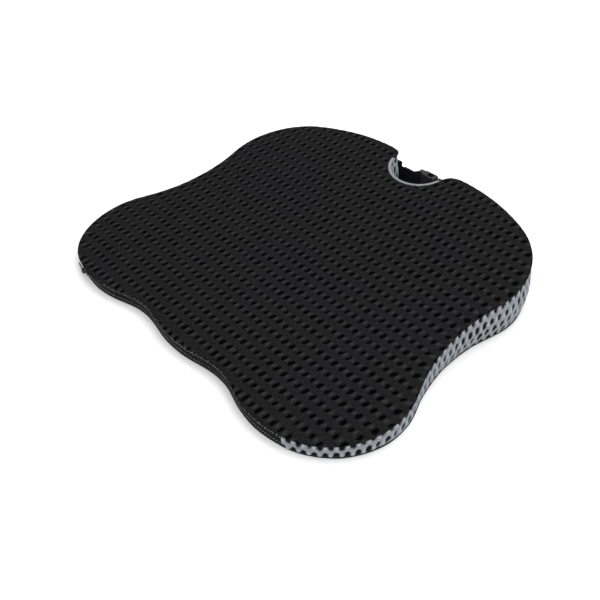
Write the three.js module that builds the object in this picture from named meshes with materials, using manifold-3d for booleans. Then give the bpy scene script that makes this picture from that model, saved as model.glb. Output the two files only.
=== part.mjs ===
// Wedge-shaped seat cushion with a tailbone cut-out: a foam core in a knit liner, a sewn mesh cover with a zip
// along its thin front edge, and a buckled webbing strap across the mouth of the cut-out.
// Millimetres, +Z up. +Y is the thick rear edge with the cut-out, -Y the thin front edge, +X the right-hand side
// seen from the front. The cushion rests on z = 0.
import * as THREE from 'three';
import { mergeVertices } from 'three/addons/utils/BufferGeometryUtils.js';
import Module from 'manifold-3d';

const wasm = await Module();
wasm.setup();

// Plan outline, right half, as a chain of tangent arcs from the middle of the front to the middle of the cut-out.
const FRONT_LOBE = { x: 0, y: -23, r: 158 };
const FRONT_DIP_R = 94;
const SHOULDER = { x: 133.5, y: -71, r: 116 };
const CORNER_R = 80;
const CORNER_STARTS_DEG = -71.5;
const WAIST_R = 194;
const REAR_LOBE = { x: 114.5, y: 80, r: 91.5 };
const REAR_EDGE_R = 228;
const REAR_EDGE_STARTS_DEG = 63.5;
const MOUTH_CORNER_R = 8;
const CUTOUT = { x: 0, y: 180, r: 37 };

// Side profile: the top surface rises from front to rear with a slight hollow where the sitter's weight goes.
const FRONT_Y = -187;
const REAR_Y = 186;
const FRONT_HEIGHT = 17;
const REAR_HEIGHT = 61;
const SEAT_HOLLOW = 4.6;

// Cover, liner and foam, from outside to inside, with a clearance between one layer and the next.
const GAP = 0.3;
const MESH_T = 3;
const BASE_T = 1.7;
const LINER_T = 0.8;
const BAND_FOLD_LENGTH = 6;
const BAND_FOLD_PROUD = 0.8;
const LINER_DEPTH = MESH_T + GAP;
const FOAM_DEPTH = LINER_DEPTH + LINER_T + GAP;

// Zip along the front, between the two folded ends of the side band.
const ZIP_END_X = 168;
const ZIP_MID_Z = 7.8;
const TAPE_DEPTH = 1.2;
const TAPE_T = 1;
const TOOTH_PITCH = 3.2;
const TOOTH_WIDTH = 1.15;
const TOOTH_REACH = 1.2;
const COIL_HALF = 2.6;
const COIL_SPINE = 1.1;
const COIL_T = 1.1;
const STOP_LENGTH = 1.6;
const SLIDER_PARK_DEG = -103.2;
const SLIDER = { length: 9, height: 9.2, front: 2.6, plate: 1.4, flange: 1.3 };
const PULL = { length: 15, width: 4.6, t: 1.1, bail: 3 };

// Strap across the mouth of the cut-out.
const WEB_WIDTH = 25;
const WEB_T = 1.4;
const WEB_MID_Z = 27;
const PATCH_T = 1.1;
const PATCH_HEIGHT = 37;
const PATCH_MID_Z = 28.5;
const PATCH_LEFT = [-66, -36];
const PATCH_RIGHT = [92, 118];
const BUCKLE_MID_Y = 192.4;
const SOCKET_X = [-14, 13];
const PLUG_X = [13.6, 34];
const BUCKLE_WIDTH = 33;
const BUCKLE_T = 10;
const CAVITY = { depth: 17, width: 25, t: 6 };
const WINDOW_X = [1, 9];
const BAR = 3;
const BAR_T = 3;
const KEEPER_X = [66, 72];
const KEEPER_T = 1.2;

const DEG = Math.PI / 180;

// The centre of a circle that touches two others, given its distance to each centre.
function centreBetween(a, distanceA, b, distanceB, side) {
  const length = Math.hypot(b.x - a.x, b.y - a.y);
  const along = (distanceA ** 2 - distanceB ** 2 + length ** 2) / (2 * length);
  const across = side * Math.sqrt(distanceA ** 2 - along ** 2);
  const u = { x: (b.x - a.x) / length, y: (b.y - a.y) / length };
  return { x: a.x + along * u.x - across * u.y, y: a.y + along * u.y + across * u.x };
}

// A circle of another radius that touches `circle` from inside, or outside, at an angle.
function nested(circle, r, degrees) {
  const shift = circle.r - r;
  return { x: circle.x + shift * Math.cos(degrees * DEG), y: circle.y + shift * Math.sin(degrees * DEG), r };
}

const corner = nested(SHOULDER, CORNER_R, CORNER_STARTS_DEG);
const rearEdge = nested(REAR_LOBE, REAR_EDGE_R, REAR_EDGE_STARTS_DEG);
const dip = centreBetween(FRONT_LOBE, FRONT_LOBE.r + FRONT_DIP_R, SHOULDER, SHOULDER.r + FRONT_DIP_R, -1);
const waist = centreBetween(corner, CORNER_R + WAIST_R, REAR_LOBE, REAR_LOBE.r + WAIST_R, -1);
const mouth = centreBetween(rearEdge, REAR_EDGE_R - MOUTH_CORNER_R, CUTOUT, CUTOUT.r + MOUTH_CORNER_R, -1);

// turn is 1 where the outline bulges outwards and -1 where it is hollow.
const circles = [
  { ...FRONT_LOBE, turn: 1 },
  { ...dip, r: FRONT_DIP_R, turn: -1 },
  { ...SHOULDER, turn: 1 },
  { ...corner, turn: 1 },
  { ...waist, r: WAIST_R, turn: -1 },
  { ...REAR_LOBE, turn: 1 },
  { ...rearEdge, turn: 1 },
  { ...mouth, r: MOUTH_CORNER_R, turn: 1 },
  { ...CUTOUT, turn: -1 },
];

// Where one circle of the chain touches the next.
function touch(a, b) {
  const length = Math.hypot(b.x - a.x, b.y - a.y);
  const inside = a.turn === b.turn && a.r < b.r;
  const reach = (inside ? -a.r : a.r) / length;
  return { x: a.x + (b.x - a.x) * reach, y: a.y + (b.y - a.y) * reach };
}

const arcs = [];
let outlineLength = 0;
circles.forEach((circle, i) => {
  const start = i === 0 ? { x: 0, y: circle.y - circle.r } : touch(circles[i - 1], circle);
  const last = i === circles.length - 1;
  const end = last ? { x: 0, y: circle.y - circle.r } : touch(circle, circles[i + 1]);
  const from = Math.atan2(start.y - circle.y, start.x - circle.x);
  const to = Math.atan2(end.y - circle.y, end.x - circle.x);
  const sweep = (circle.turn * (to - from) + 4 * Math.PI) % (2 * Math.PI);
  arcs.push({ ...circle, from, start: outlineLength, length: sweep * circle.r });
  outlineLength += sweep * circle.r;
});

// The point at a distance along the outline from the middle of the front, negative to the left, moved inwards.
function outlineAt(distance, inwards) {
  const s = Math.min(Math.abs(distance), outlineLength);
  const arc = arcs.findLast((a) => a.start <= s + 1e-9);
  const angle = arc.from + (arc.turn * (s - arc.start)) / arc.r;
  const r = arc.r - arc.turn * inwards;
  const x = arc.x + r * Math.cos(angle);
  return new THREE.Vector2(distance < 0 ? -x : x, arc.y + r * Math.sin(angle));
}

// Distances along the outline from one place to another, closer together where it curves tightly.
function stations(from, to) {
  const list = [from];
  const marks = arcs.flatMap((a) => [a.start, -a.start]).filter((s) => s > from + 1 && s < to - 1);
  for (const end of [...new Set(marks)].sort((a, b) => a - b).concat(to)) {
    const begin = list[list.length - 1];
    const middle = Math.abs((begin + end) / 2);
    const radius = arcs.findLast((a) => a.start <= middle).r;
    const steps = Math.ceil((end - begin) / Math.min(14, Math.max(2.2, radius * 0.19)));
    for (let i = 1; i <= steps; i += 1) {
      list.push(begin + ((end - begin) * i) / steps);
    }
  }
  return list;
}

// The distance along the outline of a place on one of its arcs, given its x.
function distanceAtX(arcNumber, x) {
  const arc = arcs[arcNumber];
  let [low, high] = [arc.start, arc.start + arc.length];
  const rising = outlineAt(high, 0).x > outlineAt(low, 0).x;
  for (let i = 0; i < 50; i += 1) {
    const middle = (low + high) / 2;
    if (outlineAt(middle, 0).x < x === rising) low = middle;
    else high = middle;
  }
  return low;
}

const wholePlan = (inwards) =>
  stations(-outlineLength, outlineLength).slice(1).map((s) => outlineAt(s, inwards));

// Plan of a strip along the outline, between two depths.
function ribbonPlan(list, outer, inner) {
  const outside = list.map((s) => outlineAt(s, outer));
  const inside = list.map((s) => outlineAt(s, inner));
  return outside.concat(inside.reverse());
}

// Upright plate with a plan outline.
function upright(plan, low, high) {
  const geometry = new THREE.ExtrudeGeometry(new THREE.Shape(plan), { depth: high - low, bevelEnabled: false });
  return geometry.translate(0, 0, low);
}

// Block whose outline is drawn in X and Z and which is thick along Y.
function facing(shape, near, far) {
  const geometry = new THREE.ExtrudeGeometry(shape, { depth: far - near, bevelEnabled: false, curveSegments: 5 });
  return geometry.rotateX(Math.PI / 2).translate(0, far, 0);
}

function roundedRect(x0, x1, z0, z1, r) {
  const shape = new THREE.Shape();
  shape.moveTo(x0 + r, z0);
  shape.lineTo(x1 - r, z0);
  shape.absarc(x1 - r, z0 + r, r, -Math.PI / 2, 0);
  shape.lineTo(x1, z1 - r);
  shape.absarc(x1 - r, z1 - r, r, 0, Math.PI / 2);
  shape.lineTo(x0 + r, z1);
  shape.absarc(x0 + r, z1 - r, r, Math.PI / 2, Math.PI);
  shape.lineTo(x0, z0 + r);
  shape.absarc(x0 + r, z0 + r, r, Math.PI, 1.5 * Math.PI);
  return shape;
}

function block(x0, x1, y0, y1, z0, z1) {
  const geometry = new THREE.BoxGeometry(x1 - x0, y1 - y0, z1 - z0);
  return geometry.translate((x0 + x1) / 2, (y0 + y1) / 2, (z0 + z1) / 2);
}

function solid(geometry) {
  const bare = geometry.clone();
  bare.deleteAttribute('normal');
  bare.deleteAttribute('uv');
  const merged = mergeVertices(bare, 1e-4);
  return new wasm.Manifold(new wasm.Mesh({
    numProp: 3,
    vertProperties: Float32Array.from(merged.attributes.position.array),
    triVerts: Uint32Array.from(merged.index.array),
  }));
}

function surface(manifold) {
  const mesh = manifold.getMesh();
  const geometry = new THREE.BufferGeometry();
  geometry.setAttribute('position', new THREE.BufferAttribute(mesh.vertProperties, 3));
  geometry.setIndex(new THREE.BufferAttribute(mesh.triVerts, 1));
  const flat = geometry.toNonIndexed();
  flat.computeVertexNormals();
  return flat;
}

function topHeight(y) {
  const t = (y - FRONT_Y) / (REAR_Y - FRONT_Y);
  return FRONT_HEIGHT + (REAR_HEIGHT - FRONT_HEIGHT) * t - SEAT_HOLLOW * 4 * t * (1 - t);
}

// Everything below the top surface, lowered by `drop`, and above `low`.
function underTop(low, drop) {
  const steps = 12;
  const points = [new THREE.Vector2(REAR_Y + 15, low), new THREE.Vector2(FRONT_Y - 15, low)];
  for (let i = 0; i <= steps; i += 1) {
    const y = FRONT_Y - 15 + ((REAR_Y - FRONT_Y + 30) * i) / steps;
    points.push(new THREE.Vector2(y, topHeight(y) - drop));
  }
  const geometry = new THREE.ExtrudeGeometry(new THREE.Shape(points), { depth: 500, bevelEnabled: false });
  const toRow = new THREE.Matrix4().set(0, 0, 1, -250, 1, 0, 0, 0, 0, 1, 0, 0, 0, 0, 0, 1);
  return solid(geometry.applyMatrix4(toRow));
}

const wedge = (plan, low, drop) => solid(upright(plan, -20, 90)).intersect(underTop(low, drop));

// A strip of webbing or tape that follows a path in plan, at a height.
function webbing(path, width, middleZ, thickness) {
  const sides = [1, -1].map((side) => path.map((p, i) => {
    const before = path[Math.max(i - 1, 0)];
    const after = path[Math.min(i + 1, path.length - 1)];
    const a = new THREE.Vector2(p[0] - before[0], p[1] - before[1]).normalize();
    const b = new THREE.Vector2(after[0] - p[0], after[1] - p[1]).normalize();
    const along = a.clone().add(b).normalize();
    const stretch = 1 / Math.max(0.5, along.dot(a.length() > 0 ? a : b));
    const half = (side * thickness * stretch) / 2;
    return new THREE.Vector2(p[0] - along.y * half, p[1] + along.x * half);
  }));
  return upright(sides[0].concat(sides[1].reverse()), middleZ - width / 2, middleZ + width / 2);
}

const colours = {
  black_mesh: [0x1c1c1e, 0.9],
  grey_mesh: [0xa9aeb4, 0.9],
  black_base: [0x161618, 0.85],
  zip_tape: [0x141416, 0.8],
  zip_teeth: [0x2a2a2c, 0.45],
  zip_metal: [0x202022, 0.35],
  webbing: [0x17171b, 0.8],
  elastic: [0x121214, 0.85],
  buckle: [0x1d1b1a, 0.4],
  liner: [0xe8e6e0, 0.9],
  foam: [0xf1ead6, 0.95],
};

const cushion = new THREE.Group();

function add(name, colour, shape) {
  const geometry = shape.isBufferGeometry ? shape : surface(shape);
  const [color, roughness] = colours[colour];
  const mesh = new THREE.Mesh(geometry, new THREE.MeshStandardMaterial({ color, roughness, metalness: 0 }));
  mesh.name = name;
  cushion.add(mesh);
  return mesh;
}

// Foam core and its two-part liner. The top liner is a tray, open underneath.
add('foam_core', 'foam', wedge(wholePlan(FOAM_DEPTH), BASE_T + 2 * GAP + LINER_T, FOAM_DEPTH));
add('liner_base', 'liner', upright(wholePlan(FOAM_DEPTH), BASE_T + GAP, BASE_T + GAP + LINER_T));
add('liner_top', 'liner', wedge(wholePlan(LINER_DEPTH), BASE_T + GAP, LINER_DEPTH)
  .subtract(wedge(wholePlan(LINER_DEPTH + LINER_T), -10, LINER_DEPTH + LINER_T)));

// Cover: top mesh, underside, and the grey band in three strips.
add('top_panel', 'black_mesh', wedge(wholePlan(0), 5, 0).subtract(underTop(-10, MESH_T)));
add('base_panel', 'black_base', upright(wholePlan(-0.5), 0, BASE_T));
const shoulderArc = 2;
const cutoutArc = 8;
const zipEnd = distanceAtX(shoulderArc, ZIP_END_X);
const mouthSeam = arcs[cutoutArc].start + 2;
const bandLow = BASE_T + GAP;
const bandDrop = MESH_T + GAP;
for (const [name, side] of [['side_band_left', -1], ['side_band_right', 1]]) {
  const strip = (from, to, outer, inner) => {
    const ends = side > 0 ? [from, to] : [-to, -from];
    return wedge(ribbonPlan(stations(...ends), outer, inner), bandLow, bandDrop);
  };
  const fold = strip(zipEnd, zipEnd + BAND_FOLD_LENGTH, -BAND_FOLD_PROUD, MESH_T / 2);
  add(name, 'grey_mesh', strip(zipEnd, mouthSeam - GAP, 0, MESH_T).add(fold));
}
const roundNotch = stations(mouthSeam, outlineLength).concat(stations(-outlineLength, -mouthSeam).slice(1));
add('notch_band', 'grey_mesh', wedge(ribbonPlan(roundNotch, 0, MESH_T), bandLow, bandDrop));

// Zip: two tapes, two rows of interlocking teeth and an end stop at each end.
const tapeEnd = zipEnd - GAP;
const tapeTop = topHeight(FRONT_Y) - MESH_T - GAP;
const tapePlan = ribbonPlan(stations(-tapeEnd, tapeEnd), TAPE_DEPTH, TAPE_DEPTH + TAPE_T);
add('zip_tape_lower', 'zip_tape', upright(tapePlan, bandLow, ZIP_MID_Z - GAP / 2));
add('zip_tape_upper', 'zip_tape', upright(tapePlan, ZIP_MID_Z + GAP / 2, tapeTop));
const coilEnd = tapeEnd - STOP_LENGTH - 2 * GAP;
const teeth = Math.floor((2 * coilEnd) / TOOTH_PITCH) - 1;
for (const [name, up, phase] of [['zip_coil_lower', 1, 0], ['zip_coil_upper', -1, 0.5]]) {
  // Spine on the outside, teeth reaching past the middle towards the other row.
  const spine = [ZIP_MID_Z - up * COIL_HALF, ZIP_MID_Z - up * (COIL_HALF - COIL_SPINE)].sort((a, b) => a - b);
  const tip = [spine[up > 0 ? 1 : 0], ZIP_MID_Z + up * TOOTH_REACH].sort((a, b) => a - b);
  const row = [solid(upright(ribbonPlan(stations(-coilEnd, coilEnd), -GAP, COIL_T - GAP), ...spine))];
  for (let i = 0; i < teeth; i += 1) {
    const middle = (i + phase + 0.75 - teeth / 2) * TOOTH_PITCH - 0.25 * TOOTH_PITCH;
    const from = middle - TOOTH_WIDTH / 2;
    const plan = [[from, -GAP], [from + TOOTH_WIDTH, -GAP], [from + TOOTH_WIDTH, COIL_T - GAP], [from, COIL_T - GAP]]
      .map(([s, depth]) => outlineAt(s, depth));
    const overlap = up > 0 ? [tip[0] - 0.2, tip[1]] : [tip[0], tip[1] + 0.2];
    row.push(solid(upright(plan, ...overlap)));
  }
  add(name, 'zip_teeth', wasm.Manifold.union(row));
}
for (const [name, side] of [['zip_stop_left', -1], ['zip_stop_right', 1]]) {
  const ends = [tapeEnd - GAP - STOP_LENGTH, tapeEnd - GAP].map((s) => side * s).sort((a, b) => a - b);
  const plan = ribbonPlan(stations(...ends), -GAP, COIL_T - GAP);
  add(name, 'zip_metal', upright(plan, ZIP_MID_Z - COIL_HALF, ZIP_MID_Z + COIL_HALF));
}

// Zip slider, parked by the left end. It is built facing -Y on its own origin and turned round the shoulder's
// centre, which is what it runs round. The plate stands clear of the teeth, and two flanges reach to the tape.
const slider = new THREE.Group();
slider.position.set(-SHOULDER.x, SHOULDER.y, 0);
slider.rotation.z = (SLIDER_PARK_DEG + 90) * DEG;
cushion.add(slider);
const sliderFace = -SHOULDER.r;
const plateBack = sliderFace - GAP - 0.4;
const plateFront = plateBack - SLIDER.plate;
const halfHeight = SLIDER.height / 2;
const plateShape = roundedRect(-SLIDER.length / 2, SLIDER.length / 2,
  ZIP_MID_Z - halfHeight, ZIP_MID_Z + halfHeight, 1.6);
let sliderSolid = solid(facing(plateShape, plateFront, plateBack));
for (const side of [-1, 1]) {
  const edge = ZIP_MID_Z + side * halfHeight;
  const inner = ZIP_MID_Z + side * (halfHeight - SLIDER.flange);
  const [low, high] = [Math.min(edge, inner), Math.max(edge, inner)];
  sliderSolid = sliderSolid.add(solid(block(-3, 3, plateBack - 0.2, sliderFace + TAPE_DEPTH - 0.5, low, high)));
}
// Bail on the front of the slider: two posts and a crossbar that the pull tab turns on.
const bailFront = plateFront - PULL.bail;
for (const side of [-1, 1]) {
  const z = ZIP_MID_Z + side * 2.6;
  sliderSolid = sliderSolid.add(solid(block(-1.6, 0.4, bailFront, plateFront + 0.2, z - 0.7, z + 0.7)));
}
const barCentre = { x: -0.6, y: bailFront + 0.9 };
const bailBar = new THREE.CylinderGeometry(0.7, 0.7, 5.4, 12).rotateX(Math.PI / 2);
sliderSolid = sliderSolid.add(solid(bailBar.translate(barCentre.x, barCentre.y, ZIP_MID_Z)));
const sliderMesh = add('zip_slider', 'zip_metal', sliderSolid);
slider.add(sliderMesh);

// Pull tab: an eye round the bail's bar and a flat tab lying along the zip.
const eye = new THREE.CylinderGeometry(1.7, 1.7, 3.2, 16).rotateX(Math.PI / 2);
const eyeHole = new THREE.CylinderGeometry(1, 1, 8, 16).rotateX(Math.PI / 2);
const tabShape = roundedRect(barCentre.x - PULL.length, barCentre.x - 2.4,
  ZIP_MID_Z - PULL.width / 2, ZIP_MID_Z + PULL.width / 2, 1.8);
const tabNeck = block(barCentre.x - 4, barCentre.x - 1, barCentre.y - PULL.t / 2, barCentre.y + PULL.t / 2,
  ZIP_MID_Z - 1.6, ZIP_MID_Z + 1.6);
const pullSolid = solid(eye.translate(barCentre.x, barCentre.y, ZIP_MID_Z))
  .add(solid(facing(tabShape, barCentre.y - PULL.t / 2, barCentre.y + PULL.t / 2)))
  .add(solid(tabNeck))
  .subtract(solid(eyeHole.translate(barCentre.x, barCentre.y, ZIP_MID_Z)));
const pullMesh = add('zip_pull_tab', 'zip_metal', pullSolid);
slider.add(pullMesh);

// Rear face of the cushion: straight across the mouth, then round the rear edge arc.
function rearY(x) {
  const beyond = Math.max(0, Math.abs(x) - rearEdge.x);
  return rearEdge.y + Math.sqrt(REAR_EDGE_R ** 2 - beyond ** 2);
}
function rearPath(from, to, off) {
  const count = 6;
  return Array.from({ length: count + 1 }, (_, i) => {
    const x = from + ((to - from) * i) / count;
    return [x, rearY(x) + off];
  });
}

const patchMiddle = GAP + PATCH_T / 2;
const webOnPatch = 2 * GAP + PATCH_T + WEB_T / 2;
add('anchor_patch_left', 'webbing',
  webbing(rearPath(...PATCH_LEFT, patchMiddle), PATCH_HEIGHT, PATCH_MID_Z, PATCH_T));
add('anchor_patch_right', 'webbing',
  webbing(rearPath(...PATCH_RIGHT, patchMiddle), PATCH_HEIGHT, PATCH_MID_Z, PATCH_T));

// Left webbing: sewn to its patch, through the socket's slot, round its bar and back on itself.
const webY = rearY(0) + webOnPatch;
const foldY = webY + WEB_T + GAP;
const barBack = BUCKLE_MID_Y + BAR_T / 2 + 1.3;
const socketSlotX = SOCKET_X[0] + BAR + 1.7;
add('strap_left', 'webbing', webbing([
  ...rearPath(PATCH_LEFT[0] + 3, -40, webOnPatch),
  [socketSlotX - 1.5, webY],
  [socketSlotX, webY + 1.5],
  [socketSlotX, barBack - 1.5],
  [socketSlotX - 1.5, barBack],
  [SOCKET_X[0] - 0.5, barBack],
  [SOCKET_X[0] - 2.5, barBack - 2],
  [SOCKET_X[0] - 4, foldY],
  [SOCKET_X[0] - 20, foldY],
], WEB_WIDTH, WEB_MID_Z, WEB_T));

// Right webbing: sewn to its patch, up through the ladder lock's first slot, over its middle bar, down through
// the second slot and out under the end bar as the loose tail.
const ladderSlots = [[PLUG_X[0] + 8, PLUG_X[0] + 11.8], [PLUG_X[0] + 14.2, PLUG_X[0] + 18]];
const slotMiddle = ladderSlots.map(([a, b]) => (a + b) / 2);
add('strap_right', 'webbing', webbing([
  ...rearPath(PATCH_RIGHT[1] - 3, PATCH_RIGHT[0] + 2, webOnPatch),
  [PATCH_RIGHT[0] - 8, webY],
  [slotMiddle[0] + 1.2, webY],
  [slotMiddle[0] - 0.3, webY + 1.5],
  [slotMiddle[0] - 0.3, barBack - 1.2],
  [slotMiddle[0] + 1.2, barBack],
  [slotMiddle[1] - 1.2, barBack],
  [slotMiddle[1] + 0.3, barBack - 1.2],
  [slotMiddle[1] + 0.3, foldY + 1.2],
  [slotMiddle[1] + 1.5, foldY],
  [KEEPER_X[1] + 9, foldY],
], WEB_WIDTH, WEB_MID_Z, WEB_T));

// Elastic keeper: a flat loop round the strap and its tail.
const keeperInner = [webY - WEB_T / 2 - GAP, foldY + WEB_T / 2 + GAP];
const keeperHalf = WEB_WIDTH / 2 + GAP;
add('strap_keeper', 'elastic', solid(block(...KEEPER_X, keeperInner[0] - KEEPER_T, keeperInner[1] + KEEPER_T,
  WEB_MID_Z - keeperHalf - KEEPER_T, WEB_MID_Z + keeperHalf + KEEPER_T))
  .subtract(solid(block(KEEPER_X[0] - 1, KEEPER_X[1] + 1, ...keeperInner,
    WEB_MID_Z - keeperHalf, WEB_MID_Z + keeperHalf))));

// Buckle socket: a box with a mouth for the prongs, a window in each side, and a thinner end with the strap bar.
const half = BUCKLE_WIDTH / 2;
const nearY = BUCKLE_MID_Y - BUCKLE_T / 2;
const farY = BUCKLE_MID_Y + BUCKLE_T / 2;
const thinNear = webY + WEB_T / 2 + 0.5;
const frameZ = [WEB_MID_Z - half, WEB_MID_Z + half];
const slotHalf = WEB_WIDTH / 2 + 0.6;
const socketBlock = facing(roundedRect(SOCKET_X[0] + BAR + 4.6, SOCKET_X[1], ...frameZ, 2.5), nearY, farY);
const socketEnd = facing(roundedRect(SOCKET_X[0], SOCKET_X[0] + 16, ...frameZ, 4), thinNear, farY - 1.5);
const cavity = block(SOCKET_X[1] - CAVITY.depth, SOCKET_X[1] + 1, BUCKLE_MID_Y - CAVITY.t / 2,
  BUCKLE_MID_Y + CAVITY.t / 2, WEB_MID_Z - CAVITY.width / 2, WEB_MID_Z + CAVITY.width / 2);
const windows = block(...WINDOW_X, BUCKLE_MID_Y - CAVITY.t / 2, BUCKLE_MID_Y + CAVITY.t / 2,
  frameZ[0] - 1, frameZ[1] + 1);
const strapSlot = block(SOCKET_X[0] + BAR, SOCKET_X[0] + BAR + 3.4, nearY - 1, farY + 1,
  WEB_MID_Z - slotHalf, WEB_MID_Z + slotHalf);
const barTrim = [[nearY - 1, BUCKLE_MID_Y - BAR_T / 2], [BUCKLE_MID_Y + BAR_T / 2, farY + 1]]
  .map(([a, b]) => solid(block(SOCKET_X[0] - 1, SOCKET_X[0] + BAR + 1, a, b,
    WEB_MID_Z - slotHalf, WEB_MID_Z + slotHalf)));
add('buckle_socket', 'buckle', solid(socketBlock).add(solid(socketEnd))
  .subtract(solid(cavity))
  .subtract(solid(windows))
  .subtract(solid(strapSlot))
  .subtract(barTrim[0])
  .subtract(barTrim[1]));

// Buckle plug: a guide tongue and two sprung arms that go into the socket, a shoulder block, and the ladder lock.
const tongueTip = SOCKET_X[1] - CAVITY.depth + 1;
const armTip = WINDOW_X[0] - 0.5;
const plugParts = [
  facing(roundedRect(PLUG_X[0], PLUG_X[0] + 7, WEB_MID_Z - 15, WEB_MID_Z + 15, 2), nearY + 0.6, farY - 0.6),
  block(tongueTip, PLUG_X[0] + 1, BUCKLE_MID_Y - 2.2, BUCKLE_MID_Y + 2.2, WEB_MID_Z - 2.6, WEB_MID_Z + 2.6),
];
for (const side of [-1, 1]) {
  const arm = new THREE.Shape([[PLUG_X[0] + 1, 6.2], [PLUG_X[0] + 1, 9.4], [WINDOW_X[1], 9.8], [WINDOW_X[1] - 1, 12.2],
    [WINDOW_X[0] + 2, 12.2], [armTip, 10.2], [armTip, 7.4], [WINDOW_X[1], 7.2]]
    .map(([x, z]) => new THREE.Vector2(x, WEB_MID_Z + side * z)));
  plugParts.push(facing(arm, BUCKLE_MID_Y - 2.6, BUCKLE_MID_Y + 2.6));
}
const ladder = facing(roundedRect(PLUG_X[0] + 5, PLUG_X[1], ...frameZ, 3.5), thinNear + 1.8, farY - 1.5);
const ladderCuts = ladderSlots.map(([a, b]) =>
  solid(block(a, b, nearY - 1, farY + 1, WEB_MID_Z - slotHalf, WEB_MID_Z + slotHalf)));
const ladderTrim = [[nearY - 1, BUCKLE_MID_Y - BAR_T / 2], [BUCKLE_MID_Y + BAR_T / 2, farY + 1]]
  .map(([a, b]) => solid(block(ladderSlots[0][0], PLUG_X[1] + 1, a, b,
    WEB_MID_Z - slotHalf, WEB_MID_Z + slotHalf)));
let plug = solid(ladder);
for (const cut of [...ladderCuts, ...ladderTrim]) {
  plug = plug.subtract(cut);
}
add('buckle_plug', 'buckle', plugParts.reduce((whole, part) => whole.add(solid(part)), plug));

// The frame's origin is under the middle of the whole part.
cushion.updateMatrixWorld(true);
const box = new THREE.Box3().setFromObject(cushion);
cushion.position.set(-(box.min.x + box.max.x) / 2, -(box.min.y + box.max.y) / 2, -box.min.z);
cushion.updateMatrixWorld(true);

export default cushion;
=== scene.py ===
import math
from functools import partial

import bmesh
import bpy
import numpy as np
from mathutils import Matrix, Vector, geometry, noise
from mathutils.kdtree import KDTree


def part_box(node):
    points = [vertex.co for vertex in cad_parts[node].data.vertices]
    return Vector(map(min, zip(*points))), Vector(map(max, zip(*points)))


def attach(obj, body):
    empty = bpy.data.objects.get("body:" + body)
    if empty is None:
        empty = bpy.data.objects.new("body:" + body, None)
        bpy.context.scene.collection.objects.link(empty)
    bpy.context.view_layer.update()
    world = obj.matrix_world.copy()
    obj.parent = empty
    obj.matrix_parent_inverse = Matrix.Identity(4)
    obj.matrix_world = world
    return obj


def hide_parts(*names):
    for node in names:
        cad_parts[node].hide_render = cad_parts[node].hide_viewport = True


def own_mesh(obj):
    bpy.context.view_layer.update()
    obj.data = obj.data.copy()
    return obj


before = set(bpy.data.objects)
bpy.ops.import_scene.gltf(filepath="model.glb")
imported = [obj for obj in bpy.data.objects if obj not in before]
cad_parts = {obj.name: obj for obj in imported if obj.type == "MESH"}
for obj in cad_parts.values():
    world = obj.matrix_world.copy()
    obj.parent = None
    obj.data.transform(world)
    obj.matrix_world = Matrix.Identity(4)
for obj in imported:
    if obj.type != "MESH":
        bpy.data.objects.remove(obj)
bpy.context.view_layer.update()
bpy.ops.object.select_all(action="DESELECT")

# ---------------------------------------------------------------------------------------------------------------
# Camera, at the height of someone standing at the right-hand front corner, with a slight downward and sideways
# shift that keeps the cushion in the upper middle of the frame.
AZIMUTH, ELEVATION, CAMERA_ROLL = math.radians(47.2), math.radians(38.08), math.radians(-0.28)
CAMERA_DISTANCE = 0.8735
LOOK_AT = Vector((0, 0.00827, 0))
camera_data = bpy.data.cameras.new("camera")
camera_data.lens = 46.99
camera_data.sensor_width = 36
camera_data.shift_x = -0.0299
camera_data.shift_y = -0.0577
camera = bpy.data.objects.new("camera", camera_data)
bpy.context.collection.objects.link(camera)
bpy.context.scene.camera = camera
backward = Vector((math.sin(AZIMUTH) * math.cos(ELEVATION), -math.cos(AZIMUTH) * math.cos(ELEVATION),
                   math.sin(ELEVATION)))
level_right = Vector((0, 0, 1)).cross(backward).normalized()
level_up = backward.cross(level_right)
right = level_right * math.cos(CAMERA_ROLL) + level_up * math.sin(CAMERA_ROLL)
up = level_up * math.cos(CAMERA_ROLL) - level_right * math.sin(CAMERA_ROLL)
camera.matrix_world = Matrix.Translation(LOOK_AT + backward * CAMERA_DISTANCE) @ Matrix(
    (right, up, backward)).transposed().to_4x4()


# ---------------------------------------------------------------------------------------------------------------
# Studio: a plain pale floor that runs out of sight, an even pale surround, and one broad soft light high behind
# the cushion with a weaker one on the camera's side.
def new_material(name):
    material = bpy.data.materials.new(name)
    material.use_nodes = True
    return material, material.node_tree, material.node_tree.nodes["Principled BSDF"]


def is_socket(value):
    return isinstance(value, bpy.types.NodeSocket)


def feed(made, inputs):
    """Sets a node's inputs, and links those whose value is another node's output."""
    for key, value in inputs.items():
        if is_socket(value):
            made.id_data.links.new(value, made.inputs[key])
        else:
            made.inputs[key].default_value = value


def node(tree, kind, inputs=None, **settings):
    made = tree.nodes.new(kind)
    for key, value in settings.items():
        setattr(made, key, value)
    feed(made, inputs or {})
    return made


def maths(operation, *values):
    tree = next(value.id_data for value in values if is_socket(value))
    return node(tree, "ShaderNodeMath", dict(enumerate(values)), operation=operation).outputs[0]


def smooth_range(value, low, high, to_low=0.0, to_high=1.0):
    return node(value.id_data, "ShaderNodeMapRange", {
        "Value": value, "From Min": low, "From Max": high, "To Min": to_low, "To Max": to_high},
        interpolation_type="SMOOTHSTEP").outputs[0]


def colour_mix(factor, a, b):
    tree = next(value.id_data for value in (factor, a, b) if is_socket(value))
    a, b = (value if is_socket(value) else (*value, 1.0) for value in (a, b))
    return node(tree, "ShaderNodeMix", {"Factor": factor, 6: a, 7: b}, data_type="RGBA").outputs[2]


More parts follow.
